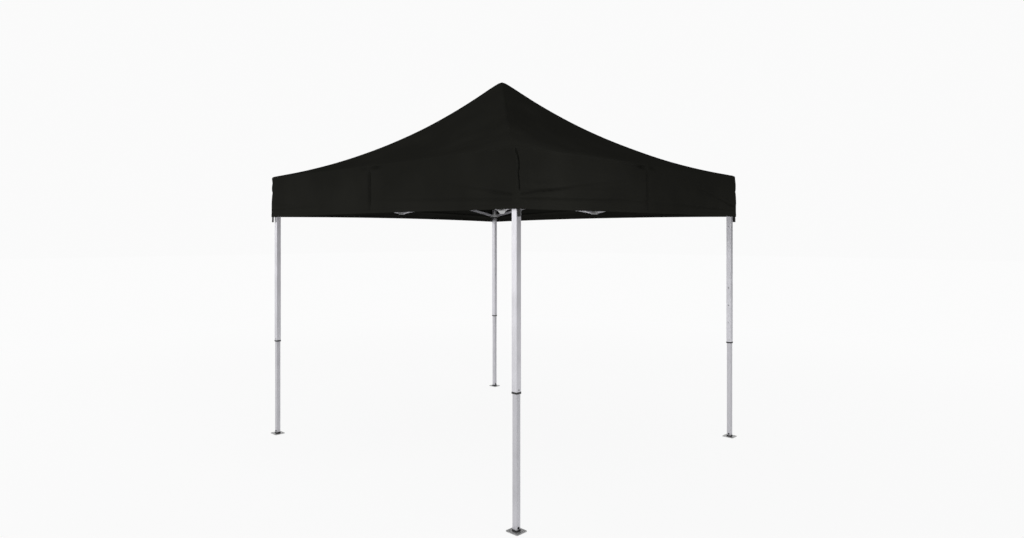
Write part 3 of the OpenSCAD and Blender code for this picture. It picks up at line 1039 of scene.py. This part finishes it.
    def lift(self, strip: Strip) -> Array:
        """How far the cloth stands out from its smooth form.

        Args:
            strip: A row on one side.

        Returns:
            The outward distance at each place.
        """
        row, places, corner = strip.row, strip.places, strip.corner
        edge = 1.0 - smooth(corner, self.seam_half, self.seam_half + self.edge_step)
        total = self.seam_height * edge * smooth(row.out, *self.seam_from)
        if row.zone is Zone.ROOF:
            return total + self.roof_wrinkles(strip)
        patch = 1.0 - smooth(corner, self.strip_width, self.strip_width + self.edge_step)
        band = 1.0 - smooth(np.abs(places), self.seam_half - self.edge_step, self.seam_half)
        ramp = np.interp(np.abs(places) / strip.end, self.bulge_along, (0.0, 1.0))
        stand = self.bulge * ramp * np.interp(row.down, self.bulge_down, (0.0, 1.0))
        swing = (1.0 + np.sin(math.tau * self.waves * places / self.half)) / 2.0
        wave = self.wave_depth * row.down * swing * (1.0 - ramp)
        total = total + self.strip_height * (patch + band) + stand + wave
        if row.zone in (Zone.HEM, Zone.RETURN):
            total = total + self.hem_stand
        if row.zone is not Zone.RETURN:
            total = total + self.drop_wrinkles(strip)
        return total

    def crease(self, strip: Strip) -> Array:
        """The sharp fold that runs down each corner from the eave, with a kink in it.

        Args:
            strip: A row on one side.

        Returns:
            How far each place moves along the diagonal of its corner.
        """
        row, places = strip.row, strip.places
        if row.zone in (Zone.ROOF, Zone.RETURN):
            return np.zeros_like(places)
        arc = row.out - np.abs(places) - self.corner_radius * (1.0 - math.pi / 4 + np.abs(strip.angles))
        off = np.where(places < 0, arc, -arc) - np.interp(row.height, *zip(*self.crease_line))
        depth = self.crease_depth * math.prod(smooth(row.height, *end) for end in self.crease_ends)
        fold = sum(bump.at(off) for bump in self.crease_fold)
        return depth * fold + self.crease_kink.at(row.height) * bell(off, self.kink_width)

    def unevenness(self, strip: Strip, scale: Span) -> Array:
        """Smooth noise over the cloth, from -1 to 1.

        Args:
            strip: A row on one side.
            scale: Repeats to the metre along and down the side.

        Returns:
            The noise at each place.
        """
        along = strip.places * scale[0] + self.noise_shift * strip.side.value
        down = strip.row.path * scale[1]
        return np.array([noise.noise(Vector((place, down, self.noise_slice))) for place in along])

    def roof_wrinkles(self, strip: Strip) -> Array:
        """Folds that fan from the hips, the tauter right hip, and the unevenness of sewn cloth.

        Args:
            strip: A row of the roof on one side.

        Returns:
            The outward distance at each place.
        """
        out, fan = strip.row.out, self.fan
        rough = self.unevenness(strip, self.broad)
        ray = strip.corner / max(out, fan.least_out)
        folds = np.sin(ray * fan.rate + fan.waver * rough) * bell(ray, fan.reach)
        folds = folds * (1.0 - np.exp(-ray / fan.start)) * smooth(out, *fan.grown)
        near = self.roof_band.at(self.roof_half - out)
        total = self.roof_rough * rough + fan.depth * folds + near * self.pucker(strip)
        seat = smooth(strip.corner, *self.seat_across) * smooth(out, *self.seat_out)
        toward = {Side.FRONT_RIGHT: 1.0, Side.BACK_RIGHT: -1.0}.get(strip.side, 0.0)
        taut = self.taut_rise.at(out) * bell(strip.corner, self.taut_width) * (toward * strip.places > 0)
        return taut + (total * (1.0 - seat) + self.seat_lift * seat) * smooth(out, *self.tip_calm)

    def pucker(self, strip: Strip) -> Array:
        """The gathers where the middle seam meets the eave, which lean to one end of the side."""
        lean = strip.places if strip.side.value % 2 else -strip.places
        return sum(bump.at(lean) for bump in self.puckers)

    def drop_wrinkles(self, strip: Strip) -> Array:
        """Tension folds, puckers and unevenness of a valance.

        Args:
            strip: A row of the valance on one side.

        Returns:
            The outward distance at each place.
        """
        row, places, corner = strip.row, strip.places, strip.corner
        fine = self.unevenness(strip, self.fine) * smooth(row.down, *self.fine_down)
        total = self.drop_rough * self.unevenness(strip, self.broad) + self.drop_fine * fine
        total = total + self.eave_band.at(row.height - self.eave_z) * self.pucker(strip)
        valley = math.prod(smooth(row.down, *end) for end in self.valley_ends)
        total = total + self.seam_valley.at(places) * valley + self.seam_groove.at(places)
        for pull in self.pulls[strip.side.value % 2]:
            far = places < 0 if pull.high_end else places > 0
            off = row.height - pull.height - pull.rise * corner
            fold = sum(bump.at(off) for bump in self.pull_fold)
            total = total + np.where(far, 0.0, pull.depth * fold * bell(corner, pull.reach))
        return total * smooth(corner, *self.corner_calm)

    def ring(self, strip: Strip) -> Array:
        """The points of one row on one side, in the frame.

        Args:
            strip: The row on the side.

        Returns:
            Rows of x, y, z, from the side's low corner to its high one.
        """
        row, places, angles = strip.row, strip.places, strip.angles
        lift = self.lift(strip)
        crease = self.crease(strip) * math.sqrt(0.5)
        bow = 1.0 - (places / row.out) ** 2
        if row.zone is Zone.ROOF:
            rest = self.inward(row.out)
            shift = -self.sag * (4.0 * rest * (1.0 - rest)) ** 2 * bow
        else:
            ends = dict(zip(strip.side.corners, (-row.out, row.out)))
            drop = self.front_drop * bell(places - ends.get(Corner.FRONT, math.inf), self.drop_reach)
            shift = row.down * (self.hem_arches[strip.side.value] * bow - drop)
        out = strip.radius + lift * row.normal_out
        x = places + out * np.sin(angles) + crease * np.sign(places)
        y = -strip.end - out * np.cos(angles) - crease
        z = row.height + shift + lift * row.normal_up
        return strip.side.turned(np.stack((x, y, z), axis=-1))

    def gather(self, strip: Strip) -> tuple[Array, Array, float]:
        """How much each place follows the legs, the middle bracket and the mast when the frame folds.

        The cloth keeps to the frame and stands out between its holds in pleats.

        Args:
            strip: A row on one side.

        Returns:
            The share of the nearer leg, the share of the middle bracket, and the share of the mast.
        """
        row = strip.row
        folded = self.leg_axis - self.fold_travel
        out = min(row.out, self.leg_axis)
        kept = min(out, folded * (out / self.leg_axis) ** self.gather_power)
        travel = (out - kept) / self.fold_travel
        share = np.clip(np.abs(strip.places) / out, 0.0, 1.0)
        pleat = self.pleat_depth * np.sin(math.pi * self.pleats * share) ** 2
        leg = share * travel
        middle = np.maximum(travel * (1.0 - pleat) - leg, 0.0)
        mast = self.hip(row.out) if row.zone is Zone.ROOF else 0.0
        return leg, middle, min(max(mast, 0.0), 1.0)

    def build(self) -> Item:
        """Make the sheet and its hold on the frame.

        Returns:
            The canopy.
        """
        per_side = len(self.columns(self.half)[0]) - 1
        ring_count = per_side * len(Side)
        points = np.zeros((len(self.rows) * ring_count + 1, 3))
        shares: dict[str, Array] = {}

        def note(body: str, where: Array, values: Values) -> None:
            """Set the share of a body that some vertices follow."""
            shares.setdefault(body, np.zeros(len(points)))[where] = values

        for number, row in enumerate(self.rows):
            for side in Side:
                strip = Strip(row, side, *self.columns(row.out))
                where = number * ring_count + side.value * per_side + np.arange(per_side)
                points[where] = self.ring(strip)[:-1]
                leg, middle, mast = self.gather(strip)
                low = strip.places[:-1] < 0
                for corner, own in zip(side.corners, (low, ~low)):
                    note(f"leg_{corner.label}", where[own], leg[:-1][own])
                note(f"upper_mid_bracket_{side.label}", where, middle[:-1])
                note("mast_top", where, mast)
        points[-1] = (0.0, 0.0, points[:ring_count, 2].max())
        note("mast_top", np.array([len(points) - 1]), 1.0)
        faces, cut = self.faces(per_side, len(points) - 1)
        sheet = make_mesh("canopy_sheet", points, faces, cut)
        self.hold(sheet, shares)
        thick = sheet.modifiers.new("cloth", "SOLIDIFY")
        thick.thickness, thick.offset = self.thickness, -1.0
        return sheet

    def faces(self, per_side: int, tip: int) -> tuple[list[tuple[int, ...]], list[Span]]:
        """The sheet's faces and its flat cut.

        Args:
            per_side: Columns to a side.
            tip: The number of the vertex at the tip.

        Returns:
            The faces, and the cut's coordinates at each of their corners.
        """
        ring_count = per_side * len(Side)
        faces: list[tuple[int, ...]] = []
        cut: list[Span] = []
        flat = [self.columns(row.out)[0] for row in self.rows]
        for number in range(len(self.rows) - 1):
            upper, lower = number * ring_count, (number + 1) * ring_count
            for here in range(ring_count):
                side, column = divmod(here, per_side)
                after = (here + 1) % ring_count
                faces.append((upper + here, lower + here, lower + after, upper + after))
                for down, right in QUAD:
                    place = side * CLOTH.panel_step + flat[number + down][column + right]
                    cut.append((place, self.rows[number + down].path))
        for here in range(ring_count):
            faces.append((tip, here, (here + 1) % ring_count))
            cut.extend(self.tip_cut)
        return faces, cut

    def hold(self, piece: Item, shares: dict[str, Array]) -> None:
        """Let the sheet follow the frame where it is held.

        Args:
            piece: The sheet.
            shares: How much each vertex follows each body.
        """
        for body, values in shares.items():
            group = piece.vertex_groups.new(name=body)
            for vertex in np.nonzero(values > LEAST_SHARE)[0].tolist():
                group.add([vertex], float(values[vertex]), "REPLACE")
            pull = piece.modifiers.new(f"held_by_{body}", "HOOK")
            pull.object = self.bodies[body]
            pull.vertex_group = group.name
            pull.falloff_type = "NONE"
            pull.matrix_inverse = Matrix.Identity(4)


@dataclass
class CornerTab:
    """A webbing loop's tail, sewn behind the valance: its place along the side, and how low it hangs."""

    corner: Corner
    axis: float
    drop: float = 0.0
    width: float = 0.030
    thickness: float = 0.0016
    face: float = 1.49985
    top: float = 2.030
    bottom: float = 1.9450
    curl: float = 0.0022
    bow: float = 0.0012
    rows: int = 24
    columns: int = 7

    def build(self) -> Item:
        """Make the tab, with a slight curl and a turned end.

        Returns:
            The tab.
        """
        across = np.linspace(-0.5, 0.5, self.columns) * self.width
        points, faces, cut = [], [], []
        for step in range(self.rows + 1):
            share = step / self.rows
            height = self.top - self.drop + (self.bottom - self.top) * share
            for place in across:
                bow = self.bow * (place / self.width * 2) ** 2 * share
                points.append((place - self.axis, bow - self.face - self.curl * share**3, height))
        count, length = self.columns, self.top - self.bottom
        for step in range(self.rows):
            for column in range(count - 1):
                corners = (step * count + column, (step + 1) * count + column)
                faces.append((corners[0], corners[1], corners[1] + 1, corners[0] + 1))
                for down, right in QUAD:
                    cut.append((across[column + right], (step + down) / self.rows * length))
        turned = Side(self.corner.value).turned(np.array(points))
        tab = make_mesh(f"corner_tab_{self.corner.label}", turned, faces, cut)
        thick = tab.modifiers.new("webbing", "SOLIDIFY")
        thick.thickness, thick.offset = self.thickness, 0.0
        return tab


@dataclass(frozen=True)
class Fade:
    """A dimmer part of the surround: its direction, where it starts and ends, and what is left."""

    toward: Vec3
    start: float
    end: float
    left: float


@dataclass(frozen=True)
class SoftBox:
    """A round soft box: its place, aim, width and power, and the width of its beam in degrees."""

    name: str
    place: Vec3
    aim: Vec3
    size: float
    power: float
    beam: float = 180.0


@dataclass
class Studio:
    """The pale floor, the soft light and the camera."""

    camera_place: Vec3 = (-4.64916, -4.26484, 1.81445)
    camera_yaw: float = 46.3676
    lens: float = 24.18
    sensor: float = 36.0
    shift: Span = (0.05492, -0.03173)
    clip_end: float = 300.0
    floor_half: float = 60.0
    floor_tone: float = 0.86
    floor_glow: float = 0.97
    floor_fade: Span = (3.5, 9.0)
    floor_share: Span = (0.94, 1.0)
    bright: float = 0.96
    fades: tuple[Fade, ...] = (
        Fade((0.707, -0.707, 0.0), 0.62, 0.88, 0.0),
        Fade((0.0, 0.0, 1.0), 0.34, 0.90, 0.80),
    )
    boxes: tuple[SoftBox, ...] = (
        SoftBox("key_soft_box", (-7.0, 4.8, 3.0), (0.0, 0.0, 1.6), 5.0, 85.0),
        SoftBox("edge_soft_box", (-9.5, -8.7, 2.6), (0.0, 0.0, 1.6), 2.2, 45.0),
        SoftBox("fill_soft_box", (-1.0, -4.0, 4.6), (-1.30, -1.5, 2.12), 0.9, 3.4, beam=44.0),
    )

    def build(self) -> None:
        """Make the whole set."""
        self.make_camera()
        self.make_floor()
        self.make_light()

    def make_camera(self) -> None:
        """Put the camera where the photograph was taken from, level."""
        data = bpy.data.cameras.new("photo_camera")
        data.lens, data.sensor_width = self.lens, self.sensor
        data.shift_x, data.shift_y = self.shift
        data.clip_end = self.clip_end
        camera = bpy.data.objects.new("photo_camera", data)
        camera.location = self.camera_place
        camera.rotation_euler = (math.pi / 2, 0.0, math.radians(self.camera_yaw) - math.pi / 2)
        bpy.context.scene.collection.objects.link(camera)
        bpy.context.scene.camera = camera

    def make_floor(self) -> None:
        """Lay a pale floor that fades into the backdrop with distance."""
        points = self.floor_half * np.array([(-1, -1, 0), (1, -1, 0), (1, 1, 0), (-1, 1, 0)])
        floor = make_mesh("studio_floor", points, [(0, 1, 2, 3)])
        graph = Graph("studio_floor")
        graph.shade(Base_Color=grey(self.floor_tone), Roughness=0.9, Specular_IOR_Level=0.1)
        glow = graph.add("ShaderNodeEmission", {"Color": grey(1.0), "Strength": self.floor_glow})
        place = graph.add("ShaderNodeTexCoord", {}).outputs["Object"]
        far = graph.add("ShaderNodeVectorMath", {0: place}, operation="LENGTH").outputs["Value"]
        share = graph.ramp(far, self.floor_fade, self.floor_share, "SMOOTHSTEP")
        inputs = {0: share, 1: graph.shader.outputs["BSDF"], 2: glow.outputs["Emission"]}
        mix = graph.add("ShaderNodeMixShader", inputs)
        graph.feed(graph.output.inputs["Surface"], mix.outputs["Shader"])
        floor.data.materials.append(graph.material)

    def make_sky(self) -> bpy.types.World:
        """A backdrop that looks even and pale, and lights less from overhead and from one side.

        Returns:
            The world.
        """
        world = bpy.data.worlds.new("studio")
        world.use_nodes = True
        graph = NodeGraph(world.node_tree)
        place = graph.add("ShaderNodeTexCoord", {}).outputs["Generated"]
        strength: object = self.bright
        for fade in self.fades:
            inputs = {0: place, 1: fade.toward}
            toward = graph.add("ShaderNodeVectorMath", inputs, operation="DOT_PRODUCT")
            results = (strength, fade.left)
            strength = graph.ramp(toward.outputs["Value"], (fade.start, fade.end), results, "SMOOTHSTEP")
        seen = graph.add("ShaderNodeLightPath", {}).outputs["Is Camera Ray"]
        back = world.node_tree.nodes["Background"]
        graph.feed(back.inputs["Color"], grey(1.0))
        graph.feed(back.inputs["Strength"], graph.ramp(seen, (0.0, 1.0), (strength, self.bright)))
        return world

    def make_light(self) -> None:
        """Hang the soft boxes under the sky, out of the camera's sight."""
        scene = bpy.context.scene
        scene.view_settings.view_transform = "Standard"
        scene.world = self.make_sky()
        for box in self.boxes:
            data = bpy.data.lights.new(box.name, "AREA")
            data.shape, data.size, data.energy = "DISK", box.size, box.power
            data.spread = math.radians(box.beam)
            light = bpy.data.objects.new(box.name, data)
            light.location = box.place
            light.visible_camera = False
            aim = Vector(box.aim) - Vector(box.place)
            light.rotation_euler = aim.to_track_quat("-Z", "Y").to_euler()
            scene.collection.objects.link(light)


@dataclass
class Gazebo:
    """The whole object: the dressed frame and its cover."""

    frame: dict[str, object]
    cut_side: float = 4.2
    cut_area: float = 14.5
    tab_axis: float = 1.477
    near_tab_axis: float = 1.481
    front_tab_drop: float = 0.009

    def build(self) -> None:
        FrameDresser(self.frame["nodes"]).dress()
        canopy = Canopy(self.frame["bodies"])
        sheet = canopy.build()
        eave, hem = canopy.drop_span()
        stitches = tuple(hem + step for step in canopy.hem_stitches)
        # The painted shade runs from the eave down to the hem.
        cloth = replace(CLOTH, hem_rows=stitches, dust_span=(eave, hem))
        sheet.data.materials.append(cloth.material())
        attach(sheet, "crown")
        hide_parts("canopy")
        for corner in Corner:
            axis = self.near_tab_axis if corner in (Corner.FRONT, Corner.RIGHT) else self.tab_axis
            drop = self.front_tab_drop if corner is Corner.FRONT else 0.0
            tab = CornerTab(corner, axis, drop).build()
            tab.data.materials.append(STRAP.material())
            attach(tab, f"leg_{corner.label}")
            log.info("%s: sewn on", tab.name)
        log.info("%s: %d vertices", sheet.name, len(sheet.data.vertices))


def main() -> None:
    """Load the frame, build the set and the object."""
    logging.basicConfig(level=logging.INFO, format="%(name)s: %(message)s")
    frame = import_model()
    Studio().build()
    Gazebo(frame).build()
    bpy.context.view_layer.update()


if __name__ == "__main__":
    main()
